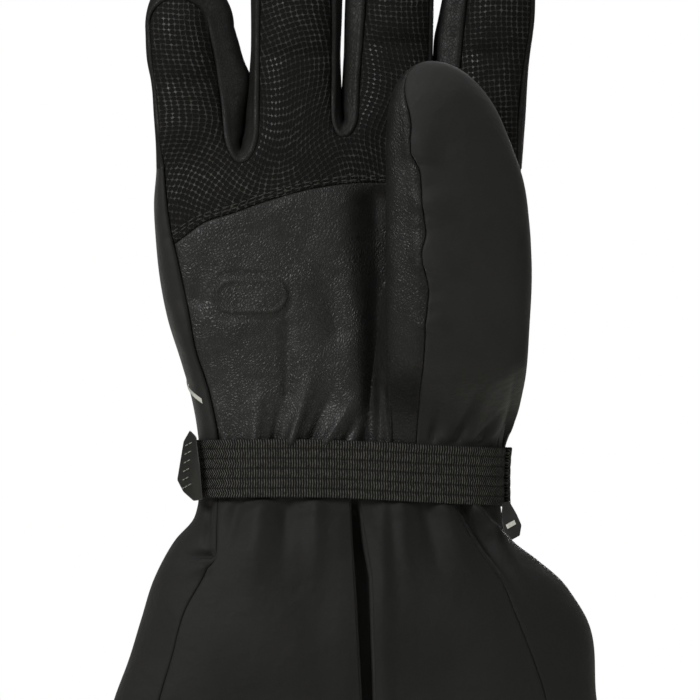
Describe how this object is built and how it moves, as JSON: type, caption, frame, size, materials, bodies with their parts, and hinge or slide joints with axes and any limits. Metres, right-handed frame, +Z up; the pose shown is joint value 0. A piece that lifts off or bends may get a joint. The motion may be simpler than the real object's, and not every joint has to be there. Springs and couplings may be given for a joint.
{
  "type": "ski glove",
  "caption": "Insulated right-hand ski glove with a gauntlet cuff, bending fingers, a folded thumb and a strapped wrist, standing on its hem.",
  "frame": {"origin": "under the middle of the glove's box, on the surface its hem stands on", "axes": "+Z up from the hem to the fingertips, -Y out of the palm, +X towards the thumb side"},
  "size_m": [0.1736, 0.0773, 0.302],
  "materials": {
    "grip_leather": "embossed grip mesh, matt",
    "palm_leather": "fine grain, low sheen",
    "finger_side_leather": "smooth thin leather, low sheen",
    "softshell": "matt brushed softshell",
    "lining": "quilted brushed lining",
    "gauntlet_cloth": "matt woven cloth",
    "binding": "ribbed tape",
    "webbing": "ribbed elastic webbing",
    "hook_and_loop": "hook and loop pile",
    "moulded_rubber": "matt moulded",
    "reflective": "retroreflective film"
  },
  "bodies": {
    "gauntlet": {"wrist_gusset": "softshell", "gauntlet_palm_panel": "gauntlet_cloth", "gauntlet_back_panel": "gauntlet_cloth", "gauntlet_left_panel": "gauntlet_cloth", "gauntlet_right_panel": "gauntlet_cloth", "gauntlet_lining": "lining", "hem_binding": "binding"},
    "hand": {"thumb_gusset": "palm_leather", "palm_grip": "grip_leather", "palm_leather": "palm_leather", "side_panel": "softshell", "back_panel": "softshell", "knuckle_pad": "moulded_rubber", "reflective_stripe": "reflective", "hand_liner": "lining", "wrist_webbing": "webbing", "webbing_anchor": "moulded_rubber", "pull_tag": "moulded_rubber", "loop_patch": "hook_and_loop"},
    "little_base": {"little_base_grip": "grip_leather", "little_base_sides": "finger_side_leather", "little_base_back": "softshell", "little_base_liner": "lining"},
    "little_tip": {"little_tip_grip": "grip_leather", "little_tip_sides": "finger_side_leather", "little_tip_back": "softshell", "little_tip_liner": "lining"},
    "ring_base": {"ring_base_grip": "grip_leather", "ring_base_sides": "finger_side_leather", "ring_base_back": "softshell", "ring_base_liner": "lining"},
    "ring_tip": {"ring_tip_grip": "grip_leather", "ring_tip_sides": "finger_side_leather", "ring_tip_back": "softshell", "ring_tip_liner": "lining"},
    "middle_base": {"middle_base_grip": "grip_leather", "middle_base_sides": "finger_side_leather", "middle_base_back": "softshell", "middle_base_liner": "lining"},
    "middle_tip": {"middle_tip_grip": "grip_leather", "middle_tip_sides": "finger_side_leather", "middle_tip_back": "softshell", "middle_tip_liner": "lining"},
    "index_base": {"index_base_grip": "grip_leather", "index_base_sides": "finger_side_leather", "index_base_back": "softshell", "index_base_liner": "lining"},
    "index_tip": {"index_tip_grip": "grip_leather", "index_tip_sides": "finger_side_leather", "index_tip_back": "softshell", "index_tip_liner": "lining"},
    "thumb_base": {"thumb_base_leather": "palm_leather", "thumb_base_softshell": "softshell", "thumb_base_liner": "lining"},
    "thumb_tip": {"thumb_tip_leather": "palm_leather", "thumb_tip_softshell": "softshell", "thumb_tip_liner": "lining"},
    "closure_flap": {"closure_flap": "webbing", "hook_patch": "hook_and_loop"}
  },
  "joints": [
    {"name": "wrist_bend", "type": "hinge", "parent": "gauntlet", "child": "hand", "pos_m": [0, 0.008, 0.088], "axis": [1, 0, 0], "range_deg": [-30, 30], "deforming": ["wrist_gusset"]},
    {"name": "little_knuckle", "type": "hinge", "parent": "hand", "child": "little_base", "pos_m": [-0.0526, 0.008, 0.205], "axis": [1, 0, 0], "range_deg": [-20, 70]},
    {"name": "little_bend", "type": "hinge", "parent": "little_base", "child": "little_tip", "pos_m": [-0.0526, 0.008, 0.236], "axis": [1, 0, 0], "range_deg": [0, 70]},
    {"name": "ring_knuckle", "type": "hinge", "parent": "hand", "child": "ring_base", "pos_m": [-0.0207, 0.008, 0.211], "axis": [1, 0, 0], "range_deg": [-20, 70]},
    {"name": "ring_bend", "type": "hinge", "parent": "ring_base", "child": "ring_tip", "pos_m": [-0.0207, 0.008, 0.245], "axis": [1, 0, 0], "range_deg": [0, 70]},
    {"name": "middle_knuckle", "type": "hinge", "parent": "hand", "child": "middle_base", "pos_m": [0.0127, 0.008, 0.213], "axis": [1, 0, 0], "range_deg": [-20, 0]},
    {"name": "middle_bend", "type": "hinge", "parent": "middle_base", "child": "middle_tip", "pos_m": [0.0127, 0.008, 0.249], "axis": [1, 0, 0], "range_deg": [0, 70]},
    {"name": "index_knuckle", "type": "hinge", "parent": "hand", "child": "index_base", "pos_m": [0.0442, 0.008, 0.211], "axis": [1, 0, 0], "range_deg": [-20, 0]},
    {"name": "index_bend", "type": "hinge", "parent": "index_base", "child": "index_tip", "pos_m": [0.0442, 0.008, 0.246], "axis": [1, 0, 0], "range_deg": [0, 70]},
    {"name": "thumb_swing", "type": "hinge", "parent": "hand", "child": "thumb_base", "pos_m": [0.036, -0.0265, 0.138], "axis": [0, 1, 0], "range_deg": [0, 40]},
    {"name": "thumb_bend", "type": "hinge", "parent": "thumb_base", "child": "thumb_tip", "pos_m": [0.036, -0.0265, 0.188], "axis": [0, -1, 0], "range_deg": [0, 35]},
    {"name": "closure_peel", "type": "hinge", "parent": "hand", "child": "closure_flap", "pos_m": [0.0549, 0.008, 0.1027], "axis": [0, 0, -1], "range_deg": [0, 75]}
  ]
}
